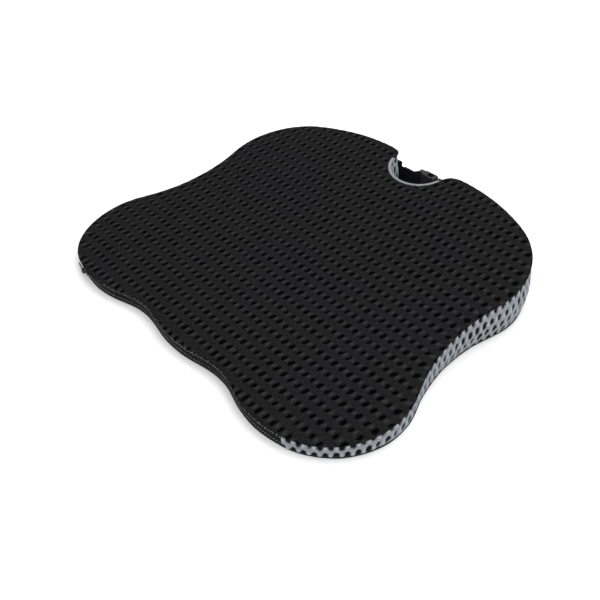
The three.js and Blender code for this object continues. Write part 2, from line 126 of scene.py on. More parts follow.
bpy.ops.mesh.primitive_plane_add(size=60, location=(0, 0, 0))
floor = bpy.context.object
floor.name = "studio_floor"
material, tree, shader = new_material("studio_floor")
clouds = node(tree, "ShaderNodeTexNoise", {"Scale": 3.0, "Detail": 2.0}).outputs[0]
feed(shader, {"Base Color": colour_mix(clouds, (0.9, 0.9, 0.9), (0.92, 0.92, 0.92)), "Roughness": 0.9})
floor.data.materials.append(material)

world = bpy.data.worlds.new("studio")
world.use_nodes = True
feed(world.node_tree.nodes["Background"], {"Color": (1, 1, 1, 1), "Strength": 1.08})
bpy.context.scene.world = world
bpy.context.scene.view_settings.view_transform = "Standard"
for name, place, size, power in (("key_light", (0.3, 0.7, 1.9), 1.6, 19), ("fill_light", (1.3, -0.9, 1.2), 1.6, 7)):
    light = bpy.data.lights.new(name, "AREA")
    light.size = size
    light.energy = power
    lamp = bpy.data.objects.new(name, light)
    lamp.location = place
    lamp.rotation_euler = (-Vector(place)).to_track_quat("-Z", "Y").to_euler()
    bpy.context.collection.objects.link(lamp)

# ---------------------------------------------------------------------------------------------------------------
# Foam core: a one-piece moulded wedge of open-cell memory foam. The cover squeezes it a little, so its sides
# swell and its edges are rounded. It is laid out from the solid core of the frame, then swollen as cloth.
FOAM_VOXEL = 0.005
SWELL_STEPS, SWELL_CAP = 20, 0.0028
LOWEST_FOAM = 0.0031
MOUTH_BEHIND = 0.005
MOUTH_RETREAT, MOUTH_RETREAT_SPREAD = 0.0030, 0.02
notch_low, notch_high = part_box("notch_band")
mouth_points = np.array([(side * notch_high[0], notch_high[1] + MOUTH_BEHIND) for side in (-1, 1)])


def linked(name, mesh):
    made = bpy.data.objects.new(name, mesh)
    bpy.context.collection.objects.link(made)
    return made


def points_of(piece):
    points = np.zeros(len(piece.data.vertices) * 3, np.float32)
    piece.data.vertices.foreach_get("co", points)
    return points.reshape(-1, 3).astype(float)


def set_points(piece, points):
    piece.data.vertices.foreach_set("co", np.asarray(points, np.float32).ravel())
    piece.data.update()


def object_place(tree):
    return node(tree, "ShaderNodeTexCoord").outputs["Object"]


def cloudy(place, scale, detail, **inputs):
    """Soft noise from 0 to 1."""
    return node(place.id_data, "ShaderNodeTexNoise", {"Vector": place, "Scale": scale, "Detail": detail,
                                                      **inputs}).outputs[0]


def raised(height, strength, distance):
    """A normal for a small relief."""
    return node(height.id_data, "ShaderNodeBump", {"Height": height, "Strength": strength,
                                                   "Distance": distance}).outputs[0]


foam = linked("foam_pad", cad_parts["foam_core"].data.copy())
welded = bmesh.new()
welded.from_mesh(foam.data)
bmesh.ops.remove_doubles(welded, verts=welded.verts, dist=1e-6)
welded.to_mesh(foam.data)
welded.free()
foam.data.materials.clear()
bpy.context.view_layer.objects.active = foam
foam.select_set(True)
foam.data.remesh_voxel_size = FOAM_VOXEL
bpy.ops.object.voxel_remesh()
foam_rest = points_of(foam)
swell = np.zeros_like(foam_rest)
cloth = foam.modifiers.new("swell", "CLOTH")
cloth.settings.use_pressure = True
cloth.settings.uniform_pressure_force = 4
cloth.settings.effector_weights.gravity = 0
cloth.point_cache.frame_start, cloth.point_cache.frame_end = 1, SWELL_STEPS
for step in range(1, SWELL_STEPS + 1):
    bpy.context.scene.frame_set(step)
swollen = foam.evaluated_get(bpy.context.evaluated_depsgraph_get())
swell = np.array([v.co for v in swollen.data.vertices]) - foam_rest
foam.modifiers.remove(cloth)
bpy.context.scene.frame_set(1)
swell -= swell.mean(0)
reach = np.linalg.norm(swell, axis=1, keepdims=True)
swell *= np.minimum(1, SWELL_CAP / np.maximum(reach, 1e-9))
foam_shape = foam_rest + swell
foam_shape[:, 2] = np.maximum(foam_shape[:, 2], LOWEST_FOAM)
for side, mouth in zip((-1, 1), mouth_points):
    apart = np.linalg.norm(foam_shape[:, :2] - mouth, axis=1)
    near_mouth = np.exp(-(apart / MOUTH_RETREAT_SPREAD) ** 2)[:, None]
    foam_shape[:, :2] += near_mouth * MOUTH_RETREAT * np.array([side, -1])
set_points(foam, foam_shape)
foam.data.shade_smooth()
round_off = foam.modifiers.new("rounding", "SUBSURF")
round_off.levels = round_off.render_levels = 1
bpy.ops.object.modifier_apply(modifier="rounding")

material, tree, shader = new_material("memory_foam")
place = object_place(tree)
cells = node(tree, "ShaderNodeTexVoronoi", {"Vector": place, "Scale": 900.0}, feature="F1").outputs["Distance"]
tone = colour_mix(cloudy(place, 14.0, 4.0), (0.62, 0.57, 0.46), (0.74, 0.70, 0.60))
# Pore centres darkened: painted shade in the open cells of the foam.
tone = colour_mix(smooth_range(cells, 0.1, 0.6), colour_mix(0.7, tone, (0.2, 0.17, 0.12)), tone)
feed(shader, {"Base Color": tone, "Roughness": 0.95, "Normal": raised(cells, 0.5, 0.0004)})
foam.data.materials.append(material)
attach(foam, "cushion")
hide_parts("foam_core")

# ---------------------------------------------------------------------------------------------------------------
# Inner liner: a thin stretch-knit sock that stays on the foam when the cover is off. It clings to the swollen
# core all round.
LINER_OFF = 0.0006
liner = linked("inner_liner", foam.data.copy())
liner_normals = np.zeros(len(liner.data.vertices) * 3, np.float32)
liner.data.vertices.foreach_get("normal", liner_normals)
set_points(liner, points_of(liner) + LINER_OFF * liner_normals.reshape(-1, 3))
liner.data.materials.clear()
material, tree, shader = new_material("liner_knit")
place = object_place(tree)
knit = maths("MULTIPLY", *(
    node(tree, "ShaderNodeTexWave", {"Vector": place, "Scale": scale, "Distortion": bend, "Detail": 1.0},
         bands_direction=axis).outputs["Fac"] for axis, scale, bend in (("X", 160.0, 0.6), ("Y", 210.0, 0.8))))
# The knit relief also sets the colour: loops lightened as a painted highlight, gaps between them darkened as painted
# shade.
feed(shader, {"Base Color": colour_mix(knit, (0.50, 0.50, 0.49), (0.80, 0.80, 0.79)), "Roughness": 0.9,
              "Sheen Weight": 0.2, "Normal": raised(knit, 0.5, 0.0002)})
liner.data.materials.append(material)
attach(liner, "cushion")
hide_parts("liner_base", "liner_top")

# ---------------------------------------------------------------------------------------------------------------
# Cover top: one panel of black air mesh, a thick spacer knit with staggered oval holes and a raised rib on each
# side of every hole. It is drawn tight over the foam, rolls over the rim and is tucked into the seam there.
# Distance round the cover runs from the middle of the front edge.
BASE_PROUD = 0.0005
RIM_STEP, RIM_SPAN = 0.0005, 0.0012
MOUTH_SOFT, MOUTH_SOFT_SPREAD, LEFT_MOUTH_SHARE = 0.0095, 0.021, 0.55
TOP_COLUMN, TOP_ROW = 0.0097, 0.0136
TOP_HOLE = (0.0021, 0.0039)
TOP_LEAN = 0.2
TOP_HOLE_DEPTH, TOP_RIB_HEIGHT = 0.0017, 0.0007
ROLL, ROLL_DROP, ROLL_PROUD, ROLL_TUCK = 0.0070, 0.0040, 0.0016, 0.0022
ROLL_TURNS = np.radians([16, 32, 48, 64, 80, 98, 116])
RING_STEP = 0.0015
CROWN, REAR_CROWN, CROWN_EDGE = 0.0008, 0.0016, 0.02
UNREST = 0.0006
NOTCH_REACH = -0.0017
PINCH_PITCH, PINCH_WIDTH, FRONT_PINCH, SIDE_PINCH = 0.0071, 0.0016, 0.0013, 0.00025
FRONT_HALF_WIDTH, FRONT_LINE = 0.168, -0.1
TIP_DROOP, TIP_FROM_END, TIP_SPREAD = 0.0032, 0.195, 0.055
WANDER = 0.0026


def outline_loop(node_name):
    """Plan corners of a frame node's lowest flat face, in order."""
    mesh = bmesh.new()
    mesh.from_mesh(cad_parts[node_name].data)
    bmesh.ops.remove_doubles(mesh, verts=mesh.verts, dist=1e-6)
    bottom = {face for face in mesh.faces if face.normal.z < -0.9}
    follow = {}
    for edge in mesh.edges:
        if sum(face in bottom for face in edge.link_faces) == 1:
            for here, there in (edge.verts, reversed(edge.verts)):
                follow.setdefault(here, []).append(there)
    start = min(follow, key=lambda v: (round(v.co.y, 5), abs(v.co.x)))
    loop, before, here = [], None, start
    while here is not start or not loop:
        loop.append(here.co.xy[:])
        ways = follow[here]
        before, here = here, (ways[0] if ways[0] is not before else ways[1])
    mesh.free()
    loop = np.array(loop)
    area = np.sum(loop[:, 0] * np.roll(loop[:, 1], -1) - np.roll(loop[:, 0], -1) * loop[:, 1])
    return loop if area > 0 else np.roll(loop[::-1], 1, axis=0)


def curved(corners, parts):
    """A closed line through the corners, smooth between them."""
    onward = np.roll(corners, -1, 0)
    spans = np.linalg.norm(onward - corners, axis=1)
    before = np.roll(spans, 1)
    slopes = (onward - corners) / spans[:, None]
    tangents = (slopes * before[:, None] + np.roll(slopes, 1, 0) * spans[:, None]) / (spans + before)[:, None]
    t = np.linspace(0, 1, parts, endpoint=False)[None, :, None]
    leave, arrive = tangents[:, None] * spans[:, None, None], np.roll(tangents, -1, 0)[:, None] * spans[:, None, None]
    return ((2 * t**3 - 3 * t**2 + 1) * corners[:, None] + (t**3 - 2 * t**2 + t) * leave
            + (3 * t**2 - 2 * t**3) * onward[:, None] + (t**3 - t**2) * arrive).reshape(-1, 2)


def measured(line):
    """A closed line with its first point again at its end, and the distance along it to each point."""
    closed = np.vstack([line, line[:1]])
    return closed, np.concatenate([[0], np.cumsum(np.linalg.norm(np.diff(closed, axis=0), axis=1))])


def place_on(line, along, distance):
    return np.stack([np.interp(distance, along, line[:, i]) for i in (0, 1)], -1)


rim = curved(outline_loop("base_panel"), 8)
rim = np.roll(rim, -int(np.argmin(np.where(rim[:, 1] < 0, np.abs(rim[:, 0]), 1.0))), axis=0)
uneven, uneven_distance = measured(rim)
rim = place_on(uneven, uneven_distance, np.linspace(0, uneven_distance[-1], int(uneven_distance[-1] / RIM_STEP),
                                                    endpoint=False))
offsets = np.arange(-int(4 * MOUTH_SOFT / RIM_STEP), int(4 * MOUTH_SOFT / RIM_STEP) + 1)
weights = np.exp(-0.5 * (offsets * RIM_STEP / MOUTH_SOFT) ** 2)
softened = sum(w * np.roll(rim, -k, 0) for w, k in zip(weights / weights.sum(), offsets))
apart = np.min([np.linalg.norm(rim - mouth, axis=1) for mouth in mouth_points], axis=0)
ease = (np.exp(-(apart / MOUTH_SOFT_SPREAD) ** 4) * np.where(rim[:, 0] < 0, LEFT_MOUTH_SHARE, 1.0))[:, None]
rim = rim * (1 - ease) + softened * ease
rim_closed, rim_distance = measured(rim)
AROUND = rim_distance[-1]


def rim_at(distance, outwards=0.0):
    """Plan points at distances round the cover, moved outwards from its wall."""
    distance = np.asarray(distance, float)
    here, ahead, behind = (place_on(rim_closed, rim_distance, np.mod(distance + d, AROUND))
                           for d in (0, RIM_SPAN, -RIM_SPAN))
    along = ahead - behind
    along /= np.linalg.norm(along, axis=-1, keepdims=True)
    normal = np.stack([along[..., 1], -along[..., 0]], -1)
    return here + normal * (np.asarray(outwards, float)[..., None] - BASE_PROUD)


top_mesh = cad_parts["top_panel"].data
upper = sorted({i for p in top_mesh.polygons if p.normal.z > 0.9 for i in p.vertices})
upper = np.array([top_mesh.vertices[i].co[:] for i in upper])
top_curve = np.polyfit(upper[:, 1], upper[:, 2], 2)
top_height = partial(np.polyval, top_curve)


def smooth_step(value, low, high):
    """0 at low and 1 at high, which may be the lesser of the two."""
    t = np.clip((value - low) / (high - low), 0, 1)
    return t * t * (3 - 2 * t)


def notch_share(x, y):
    """Where the wall of the cut-out folds up over the rim, from 0 at its mouth to 1 inside."""
    within = (np.abs(x) < notch_high[0] + 0.001) & (y > notch_low[1] - 0.006)
    return within * smooth_step(notch_high[1] + 0.002 - y, 0.0, 0.013)


def at_height(plan, z):
    """Plan points lifted to a height, or each to its own."""
    return np.column_stack([plan, np.broadcast_to(z, len(plan))])


def mesh_object(name, points, faces, uv=None):
    mesh = bpy.data.meshes.new(name)
    mesh.from_pydata(np.asarray(points).tolist(), [], faces)
    mesh.shade_smooth()
    if uv is not None:
        layer = mesh.uv_layers.new(name="cloth")
        corner = np.zeros(len(mesh.loops), np.int32)
        mesh.loops.foreach_get("vertex_index", corner)
        layer.data.foreach_set("uv", np.asarray(uv, np.float32)[corner].ravel())
    return linked(name, mesh)


def strip_faces(first, rows, columns, wrap=False):
    """Quads over rows of points that start at index first."""
    row, here = (i.ravel() for i in np.mgrid[:rows - 1, :columns if wrap else columns - 1])
    there, start = (here + 1) % columns, first + row * columns
    return np.stack([start + here, start + there, start + columns + there, start + columns + here], -1).tolist()


def ring_faces(plan_count, count, rings, order):
    """Quads from a filled plan's edge out over rings of points that follow it."""
    loops = [np.arange(count)] + [plan_count + k * count + np.arange(count) for k in range(rings)]
    faces = []
    for inner, outer in zip(loops, loops[1:]):
        quads = np.stack([inner, outer, np.roll(outer, -1), np.roll(inner, -1)], -1)
        faces += quads[:, order].tolist()
    return faces


def inside_rows(polygon, xs, ys):
    """Which points of a regular grid lie inside a closed plan line, one row at a time."""
    a, b = polygon, np.roll(polygon, -1, 0)
    inside = np.zeros((len(ys), len(xs)), bool)
    for j, y in enumerate(ys):
        cross = (a[:, 1] > y) != (b[:, 1] > y)
        where = a[cross, 0] + (y - a[cross, 1]) * (b[cross, 0] - a[cross, 0]) / (b[cross, 1] - a[cross, 1])
        inside[j] = np.searchsorted(np.sort(where), xs) % 2 == 1
    return inside


def filled_plan(edge, margin_edge, cell_x, cell_y):
    """Plan points and faces that fill a closed line: square cells inside, and triangles out to the line.
    The line's own points come first."""
    xs, ys = (np.arange(math.floor(edge[:, i].min() / cell), math.ceil(edge[:, i].max() / cell) + 1) * cell
              for i, cell in ((0, cell_x), (1, cell_y)))
    inside = inside_rows(margin_edge, xs, ys)
    cells = inside[:-1, :-1] & inside[1:, :-1] & inside[:-1, 1:] & inside[1:, 1:]
    rows, columns = cells.shape
    used = np.zeros(inside.shape, bool)
    for j, i in ((0, 0), (0, 1), (1, 0), (1, 1)):
        used[j:j + rows, i:i + columns] |= cells
    index = np.full(inside.shape, -1)
    index[used] = len(edge) + np.arange(used.sum())
    j, i = np.nonzero(used)
    points = np.vstack([edge, np.stack([xs[i], ys[j]], -1)])
    j, i = np.nonzero(cells)
    quads = np.stack([index[j, i], index[j, i + 1], index[j + 1, i + 1], index[j + 1, i]], -1)
    sides = np.sort(np.vstack([quads[:, [k, (k + 1) % 4]] for k in range(4)]), axis=1)
    sides, uses = np.unique(sides, axis=0, return_counts=True)
    border = sides[uses == 1]
    border = border[np.argsort(border[:, 1] - border[:, 0] > 1, kind="stable")]
    seeds = np.concatenate([np.arange(len(edge)), np.unique(border)])
    local = {int(point): k for k, point in enumerate(seeds)}
    fixed = [(k, (k + 1) % len(edge)) for k in range(len(edge))]
    fixed += [(local[here], local[there]) for here, there in border.tolist()]
    found = geometry.delaunay_2d_cdt([Vector(points[g]) for g in seeds], fixed, [], 0, 1e-9, True)
    back = [seeds[o[0]] if o else -1 for o in found[3]]
    triangles = np.array([[back[v] for v in f] for f in found[2]])
    triangles = triangles[(triangles >= 0).all(1)]
    centre = points[triangles].mean(1)
    in_cell = cells[np.clip(np.floor((centre[:, 1] - ys[0]) / cell_y).astype(int), 0, rows - 1),
                    np.clip(np.floor((centre[:, 0] - xs[0]) / cell_x).astype(int), 0, columns - 1)]
    in_line = np.array([inside_rows(edge, c[:1], c[1:])[0, 0] for c in centre])
    triangles = triangles[in_line & ~in_cell]
    a, b, c = (points[triangles[:, k]] for k in range(3))
    turned = (b[:, 0] - a[:, 0]) * (c[:, 1] - a[:, 1]) - (b[:, 1] - a[:, 1]) * (c[:, 0] - a[:, 0]) < 0
    triangles[turned] = triangles[turned][:, ::-1]
    return points, quads.tolist() + triangles.tolist()


def air_mesh_relief(u, v, column, row, hole, lean=0.0):
    """How far each cloth point is inside a hole, and how far up a rib, from 0 to 1."""
    line = np.floor(v / row)
    fy = (v / row - line - 0.5) * row
    fx = u / column + 0.5 * (line % 2)
    fx = (fx - np.floor(fx) - 0.5) * column - lean * fy
    in_hole = smooth_step(np.hypot(fx / hole[0], fy / hole[1]), 1.12, 0.62)
    on_rib = smooth_step(np.hypot((0.5 * column - np.abs(fx)) / (0.30 * column), fy / (1.15 * hole[1])), 1.0, 0.1)
    return in_hole, on_rib


def nearest_to(points):
    tree = KDTree(len(points))
    for number, point in enumerate(points):
        tree.insert(point, number)
    tree.balance()
    return tree


ring_count = int(round(AROUND / RING_STEP))
ring_distance = np.arange(ring_count) * AROUND / ring_count
ring_rim = rim_at(ring_distance)
edge = rim_at(ring_distance, -ROLL)
plan, faces = filled_plan(edge, rim_at(ring_distance, -ROLL - 0.0007), TOP_COLUMN / 7, TOP_ROW / 9)
random = np.random.default_rng(7)
front_stretch = (np.abs(ring_rim[:, 0]) < FRONT_HALF_WIDTH) & (ring_rim[:, 1] < FRONT_LINE)
pinch = np.zeros(ring_count)
pinch_at = []
for number in range(int(AROUND / PINCH_PITCH)):
    at = (number + random.uniform(-0.25, 0.25)) * PINCH_PITCH
    depth = random.uniform(0.3, 1.0)
    pinch_at.append(at)
    pinch += depth * np.exp(-((np.mod(ring_distance - at + AROUND / 2, AROUND) - AROUND / 2) / PINCH_WIDTH) ** 2)
pinch *= np.where(front_stretch, FRONT_PINCH, SIDE_PINCH)
tucked = notch_share(*ring_rim.T)
left_tip = np.exp(-((ring_distance - (AROUND - TIP_FROM_END)) / TIP_SPREAD) ** 2)
outward = rim_at(ring_distance, 0.001) - ring_rim
outward /= np.linalg.norm(outward, axis=1, keepdims=True)
points, uv = [at_height(plan, top_height(plan[:, 1]))], [plan]
fade, lean = [np.ones(len(plan))], [np.tile((0.0, 0.0, 1.0), (len(plan), 1))]
for k, angle in enumerate(ROLL_TURNS):
    tilt = min(angle, math.pi / 2)
    reach = (ROLL + ROLL_PROUD) * math.sin(tilt) - ROLL - ROLL_TUCK * (angle - tilt) / 0.45
    reach = reach + TIP_DROOP * left_tip * math.sin(tilt)
    reach = reach * (1 - tucked) + np.minimum(reach, NOTCH_REACH - 0.0006 * max(0, k - 4)) * tucked
    ring = rim_at(ring_distance, reach - pinch * (k / len(ROLL_TURNS)) ** 2)
    drop = ROLL_DROP * (1 - math.cos(angle)) / (1 - math.cos(ROLL_TURNS[-1]))
    points.append(at_height(ring, top_height(ring[:, 1]) - drop - pinch * (k / len(ROLL_TURNS))))
    uv.append(edge + outward * (ROLL * angle * 0.86))
    fade.append(np.full(ring_count, 0.45 * max(0.0, 1 - k / (len(ROLL_TURNS) - 2))))
    lean.append(at_height(outward * math.sin(tilt), math.cos(tilt)))
points, uv, fade, lean = np.vstack(points), np.vstack(uv), np.concatenate(fade), np.vstack(lean)
faces += ring_faces(len(plan), ring_count, len(ROLL_TURNS), (0, 1, 2, 3))

in_hole, on_rib = air_mesh_relief(uv[:, 0], uv[:, 1], TOP_COLUMN, TOP_ROW, TOP_HOLE, TOP_LEAN)
follow = np.zeros(len(points))
if swell.any():
    foam_near = nearest_to(foam_rest)
    for number, point in enumerate(points):
        found = foam_near.find_n(point, 6)
        weights = np.array([1 / (f[2] + 0.004) for f in found])
        follow[number] = weights @ swell[[f[1] for f in found], 2] / weights.sum()
rim_near = nearest_to([(*point, 0) for point in ring_rim])
depth_in = np.zeros(len(points))
depth_in[:len(plan)] = [rim_near.find((x, y, 0))[2] for x, y in plan]
crown = CROWN * (1 - np.exp(-depth_in / CROWN_EDGE)) + REAR_CROWN * smooth_step(points[:, 1], -0.08, 0.12)
unrest = np.array([noise.noise((x * 22, y * 22, 0.3)) for x, y in points[:, :2]]) * UNREST
unrest[len(plan):] *= 0.3
points += lean * (fade * (TOP_RIB_HEIGHT * on_rib - TOP_HOLE_DEPTH * in_hole))[:, None]
points[:, 2] += crown + unrest + 0.4 * np.clip(follow, -0.001, 0.002) * np.minimum(1, depth_in / CROWN_EDGE)
cover_top = mesh_object("cover_top", points, faces, uv)


def new_group(name, numbers, results):
    """A shader node group that takes a Vector and some numbers, with its input sockets and its output node."""
    group = bpy.data.node_groups.new(name, "ShaderNodeTree")
    group.interface.new_socket("Vector", in_out="INPUT", socket_type="NodeSocketVector")
    for label in numbers:
        group.interface.new_socket(label, in_out="INPUT", socket_type="NodeSocketFloat")
    for label in results:
        group.interface.new_socket(label, in_out="OUTPUT", socket_type="NodeSocketFloat")
    return group, node(group, "NodeGroupInput").outputs, node(group, "NodeGroupOutput")


times, plus, minus, over = (partial(maths, name) for name in ("MULTIPLY", "ADD", "SUBTRACT", "DIVIDE"))


def length_of(a, b):
    return maths("SQRT", plus(times(a, a), times(b, b)))


air_mesh, given, result = new_group("air_mesh_knit", ("Column", "Row", "Hole half width", "Hole half length", "Lean",
                                                      "Wander"), ("Hole", "Rib", "Yarn", "Fleck", "Height"))
wobble = node(air_mesh, "ShaderNodeTexNoise", {"Vector": given["Vector"], "Scale": 260.0, "Detail": 2.0})
wobble = node(air_mesh, "ShaderNodeVectorMath", {0: wobble.outputs["Color"], 1: (0.5, 0.5, 0.5)},
              operation="SUBTRACT").outputs[0]
wobble = node(air_mesh, "ShaderNodeVectorMath", {0: wobble, "Scale": given["Wander"]}, operation="SCALE").outputs[0]
moved = node(air_mesh, "ShaderNodeVectorMath", {0: given["Vector"], 1: wobble}, operation="ADD").outputs[0]
parts = node(air_mesh, "ShaderNodeSeparateXYZ", {0: moved}).outputs
line = over(parts["Y"], given["Row"])
whole = maths("FLOOR", line)
fy = times(minus(minus(line, whole), 0.5), given["Row"])
across = plus(over(parts["X"], given["Column"]), times(maths("FLOORED_MODULO", whole, 2.0), 0.5))
cell = node(air_mesh, "ShaderNodeCombineXYZ", {"X": maths("FLOOR", across), "Y": whole}).outputs[0]
chance = node(air_mesh, "ShaderNodeTexWhiteNoise", {"Vector": cell}, noise_dimensions="2D").outputs["Value"]
fx = minus(times(minus(maths("FRACT", across), 0.5), given["Column"]), times(given["Lean"], fy))
hole = length_of(over(fx, given["Hole half width"]), over(fy, given["Hole half length"]))
hole = smooth_range(times(hole, smooth_range(chance, 0.0, 1.0, 0.92, 1.2)), 1.15, 0.70)
side = minus(times(given["Column"], 0.5), maths("ABSOLUTE", fx))
rib = length_of(over(side, times(given["Column"], 0.30)), over(fy, times(given["Hole half length"], 1.15)))
rib = smooth_range(rib, 1.0, 0.1)
yarn = node(air_mesh, "ShaderNodeTexVoronoi", {"Vector": given["Vector"], "Scale": 1100.0, "Randomness": 0.55},
            feature="F1").outputs["Distance"]
fleck = smooth_range(cloudy(given["Vector"], 480.0, 3.0, Roughness=0.6), 0.36, 0.64)
height = minus(plus(times(rib, 0.35), times(yarn, 0.10)), hole)
feed(result, {"Hole": hole, "Rib": rib, "Yarn": yarn, "Fleck": fleck, "Height": height})


def air_mesh_material(name, sizes, ground, tint, rib_highlight_tone, hole_shade_tone, fleck, bump, sheen, specular):
    """Spacer knit: ground cloth, ribs lightened as a painted highlight, holes darkened as painted shade, random
    flecks and a slow drift of colour.
    """
    column, row, hole, lean = sizes
    material, tree, shader = new_material(name)
    place = node(tree, "ShaderNodeUVMap", uv_map="cloth").outputs[0]
    knit = node(tree, "ShaderNodeGroup", node_tree=air_mesh)
    feed(knit, {"Vector": place, "Column": column, "Row": row, "Hole half width": hole[0],
                "Hole half length": hole[1], "Lean": lean, "Wander": WANDER})
    knit = knit.outputs
    tone = colour_mix(smooth_range(cloudy(place, 9.0, 3.0), 0.35, 0.65), ground, tint)
    # Ribs lightened: painted highlight on the raised ribs. The random flecks below take the same light colour.
    tone = colour_mix(times(knit["Rib"], 0.8), tone, rib_highlight_tone)
    tone = colour_mix(times(knit["Fleck"], fleck), tone, rib_highlight_tone)
    # Random yarn grain, darkened a little with the painted hole shade colour.
    tone = colour_mix(smooth_range(knit["Yarn"], 0.25, 0.7, 0.0, 0.3), tone, hole_shade_tone)
    # Holes darkened nearly to black: painted shade in the recessed holes.
    feed(shader, {"Base Color": colour_mix(knit["Hole"], tone, hole_shade_tone),
                  "Roughness": smooth_range(knit["Rib"], 0.0, 1.0, 0.86, 0.66),
                  "Specular IOR Level": specular, "Sheen Weight": sheen, "Sheen Roughness": 0.45,
                  "Normal": raised(knit["Height"], bump, 0.0010)})
    return material


# The rib colour is a painted highlight and the hole colour a painted shade.
cover_top.data.materials.append(air_mesh_material(
    "black_air_mesh", (TOP_COLUMN, TOP_ROW, TOP_HOLE, TOP_LEAN), ground=(0.0080, 0.0080, 0.0080),
    tint=(0.0079, 0.0078, 0.0094), rib_highlight_tone=(0.031, 0.031, 0.031), hole_shade_tone=(0.0006, 0.0006, 0.0009), fleck=0.32,
    bump=0.9, sheen=0.0, specular=0.02))
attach(cover_top, "cushion")
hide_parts("top_panel")

# ---------------------------------------------------------------------------------------------------------------
# Side walls: two long bands of light grey air mesh and a third round the tailbone cut-out. Each is sewn between
# the top and the base, bulges between the two seams, and its front end is folded under beside the zip.
BAND_COLUMN, BAND_ROW, BAND_HOLE = 0.0096, 0.0112, (0.0029, 0.0046)
BAND_HOLE_DEPTH, BAND_RIB_HEIGHT = 0.0015, 0.0005
BAND_FIRST_ROW = 0.0018
BAND_FOOT, BAND_SEAM_UP, BAND_IN = 0.0011, 0.0006, 0.0004
WALL_BULGE, MOUTH_BULGE, MOUTH_BULGE_SPREAD, STRAP_DENT = 0.0034, 0.0026, 0.012, 0.0005
WAVER = 0.0004
NOTCH_RISE = 0.0016
LIP = 0.0011
NOTCH_LIP = ((0.0006, -0.0030), (0.0009, -0.0018), (0.0007, -0.0007), (0.0, 0.0001), (-0.0009, 0.0004),
             (-0.0019, 0.0001), (-0.0026, -0.0008), (-0.0027, -0.0020))
LIP_RIPPLE, LIP_RIPPLE_PITCH = 0.00012, 0.0031
END_OVERLAP, END_FOLD, STOP_CLEAR, END_TUCK = 0.0055, 0.0011, 0.0012, 0.0022
REAR_WALL_Y, PATCH_INNER_X, PATCH_OUTER_X = (0.150, 0.166), (0.034, 0.042), (0.122, 0.145)
THIN_WALL, TALL_WALL = 0.012, 0.045
# The rib colour is a painted highlight and the hole colour a painted shade.
grey_mesh = air_mesh_material(
    "grey_air_mesh", (BAND_COLUMN, BAND_ROW, BAND_HOLE, 0.0), ground=(0.235, 0.250, 0.272),
    tint=(0.220, 0.232, 0.260), rib_highlight_tone=(0.40, 0.42, 0.45), hole_shade_tone=(0.003, 0.005, 0.010), fleck=0.3, bump=0.6,
    sheen=0.02, specular=0.08)
zip_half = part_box("zip_stop_right")[1][0] + 0.0005
front_half = np.interp(zip_half, rim_closed[:len(rim) // 4, 0], rim_distance[:len(rim) // 4])
rear = (rim_closed[:, 1] > 0.12) & (rim_closed[:, 0] > 0) & (rim_distance < AROUND / 2)
notch_start = rim_distance[rear][np.argmin(np.abs(rim_closed[rear, 0] - notch_high[0])
                                           + 3 * np.maximum(0, rim_closed[rear, 1] - notch_high[1] - 0.0005))]


def strap_pull(x, y):
    """Where the sewn strap and its patches hold the rear wall flat, from 0 to 1."""
    return smooth_step(y, *REAR_WALL_Y) * smooth_step(np.abs(x), *PATCH_INNER_X) * (
        1 - smooth_step(np.abs(x), *PATCH_OUTER_X))


def wall_bulge(x, y, up):
    """How far the wall stands out at a plan point and a share of its height."""
    bulge = WALL_BULGE * smooth_step(top_height(y), THIN_WALL, TALL_WALL)
    apart = np.min([np.hypot(x - mouth[0], y - mouth[1]) for mouth in mouth_points], axis=0)
    full = bulge * (1 - strap_pull(x, y)) + MOUTH_BULGE * np.exp(-(apart / MOUTH_BULGE_SPREAD) ** 2)
    return full * (1 - (2 * up - 1) ** 2)


